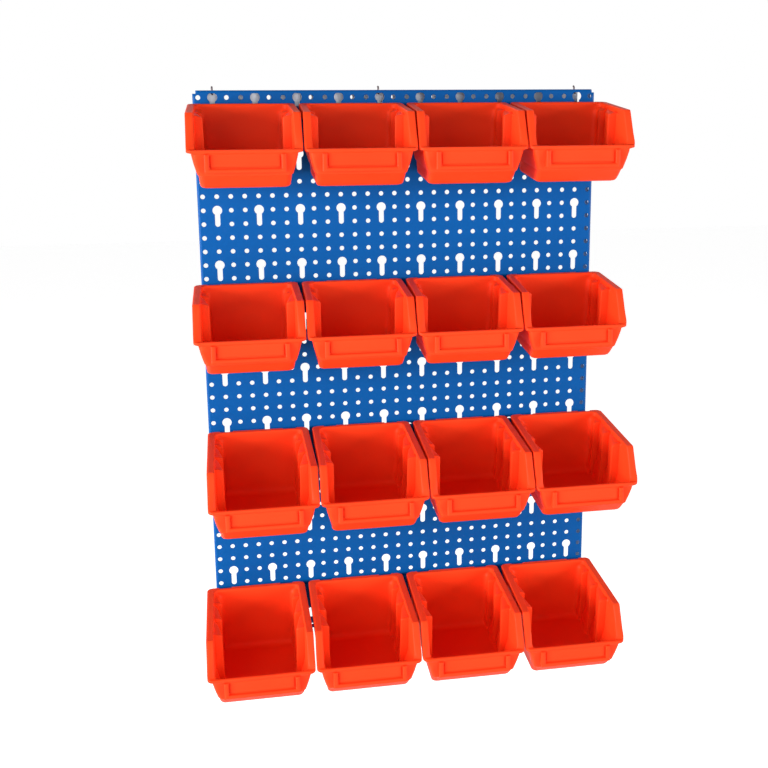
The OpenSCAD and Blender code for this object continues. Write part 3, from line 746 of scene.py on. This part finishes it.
# The bins hang by their rear rims, leaning forward, 3 mm in front of the sheet and 101.6 mm apart. Each row
# is a little to one side of the panel's middle.
hung = np.array([[1, 0, 0], [0, np.cos(tilt), -np.sin(tilt)], [0, np.sin(tilt), np.cos(tilt)]])
bin_pitch, stand_off = 101.6, 3
row_shift = (2.8, 0.8, 6.7, -1.5)
hook_x = 31.0
crease = np.radians(34)
upper_bin, lower_bin = (87, np.array([-21.5, -49.5])), (115, np.array([-21.5, -49.5, -77.5]))
for rows, (depth, steps) in (((0, 1), upper_bin), ((2, 3), lower_bin)):
    shell, label_holder, hooks = moulded(depth, steps), holder(depth), [hook(-hook_x), hook(hook_x)]
    points = np.concatenate([shell[0], label_holder[0]] + [h[0] for h in hooks])
    starts = np.cumsum([0, len(shell[0]), len(label_holder[0]), len(hooks[0][0])])
    faces = shell[1] + (label_holder[1] + starts[1]).tolist()
    for h, start in zip(hooks, starts[2:]):
        faces += (h[1] + start).tolist() + [[k + int(start) for k in cap] for cap in h[2]]
    for row in rows:
        for column in range(4):
            where = np.array([(column - 1.5) * bin_pitch + row_shift[row], -stand_off, rim_heights[row]])
            name = f"r{row + 1}c{column + 1}"
            one = put(f"storage_bin_{name}", points @ hung.T + where, faces, True, orange,
                      f"bin_body_{name}", (f"bin_{name}",), "orange_plastic")
            one.data.set_sharp_from_angle(angle=crease)

# ---- Studio ----
# A plain pale floor well below the hung panel, large soft lamps at the left and the right, weaker ones at
# the upper left and in front, and a white surround. All of it is in metres.


def background_share(tree):
    """1 for the rays that see the background, directly, through glass or in a gloss, and 0 for those that
    light."""
    path = add(tree, "ShaderNodeLightPath").outputs
    direct = add(tree, "ShaderNodeMath", {0: path["Is Camera Ray"], 1: path["Is Transmission Ray"]},
                 operation="MAXIMUM")
    return add(tree, "ShaderNodeMath", {0: direct.outputs[0], 1: path["Is Glossy Ray"]},
               operation="MAXIMUM").outputs[0]


world = bpy.data.worlds.new("white_surround")
bpy.context.scene.world = world
world.use_nodes = True
tree = world.node_tree
tree.nodes.clear()
ambient = add(tree, "ShaderNodeBackground", {"Color": (1, 1, 1, 1), "Strength": 0.15})
white = add(tree, "ShaderNodeBackground", {"Color": (1, 1, 1, 1), "Strength": 1.0})
both = add(tree, "ShaderNodeMixShader",
           {0: background_share(tree), 1: ambient.outputs[0], 2: white.outputs[0]})
add(tree, "ShaderNodeOutputWorld", {"Surface": both.outputs[0]})

ground, reach = -0.62, 6
floor_data = bpy.data.meshes.new("floor")
floor_corners = [(x * reach, y * reach, ground) for x, y in ((-1, -1), (1, -1), (1, 1), (-1, 1))]
floor_data.from_pydata(floor_corners, [], [(0, 1, 2, 3)])
floor = bpy.data.objects.new("floor", floor_data)
bpy.context.scene.collection.objects.link(floor)
pale = bpy.data.materials.new("pale_floor")
pale.use_nodes = True
tree = pale.node_tree
shader = tree.nodes["Principled BSDF"]
shader.inputs["Base Color"].default_value = (0.82, 0.82, 0.82, 1)
shader.inputs["Roughness"].default_value = 0.9
shader.inputs["Emission Color"].default_value = (1, 1, 1, 1)
add(tree, "ShaderNodeMath", {0: background_share(tree), 1: 0.8}, {0: shader.inputs["Emission Strength"]},
    operation="MULTIPLY")
floor_data.materials.append(pale)

aim = Vector((0, -0.05, 0))
for name, at, size, watts in (("left", (-2.1, -0.95, 0.2), 0.8, 66),
                              ("right", (1.95, -1.2, 0.2), 0.8, 36),
                              ("upper left", (-1.05, -1.3, 0.5), 0.6, 4),
                              ("front", (-0.15, -2.2, 0.2), 0.8, 4)):
    lamp = bpy.data.lights.new(name, "AREA")
    lamp.size, lamp.energy = size, watts
    stand = bpy.data.objects.new(name, lamp)
    stand.location = at
    stand.rotation_euler = (aim - Vector(at)).to_track_quat("-Z", "Y").to_euler()
    bpy.context.scene.collection.objects.link(stand)

lens = bpy.data.cameras.new("camera")
lens.lens, lens.sensor_width = 52.045, 36.0
frame_side = 768
lens.shift_x, lens.shift_y = -48.23 / frame_side, -41.83 / frame_side
camera = bpy.data.objects.new("camera", lens)
eye = (-0.17435, -1.06729, 0.26844)
across_view = Vector((0.98196935, -0.1890039, -0.00370511))
down_view = Vector((-0.0446906, -0.21305666, -0.97601721))
into_view = Vector((0.18368167, 0.95858457, -0.21766181))
turned = Matrix((across_view, -down_view, -into_view)).transposed().to_4x4()
camera.matrix_world = Matrix.Translation(eye) @ turned
bpy.context.scene.collection.objects.link(camera)
bpy.context.scene.camera = camera
bpy.context.scene.view_settings.view_transform = "Standard"
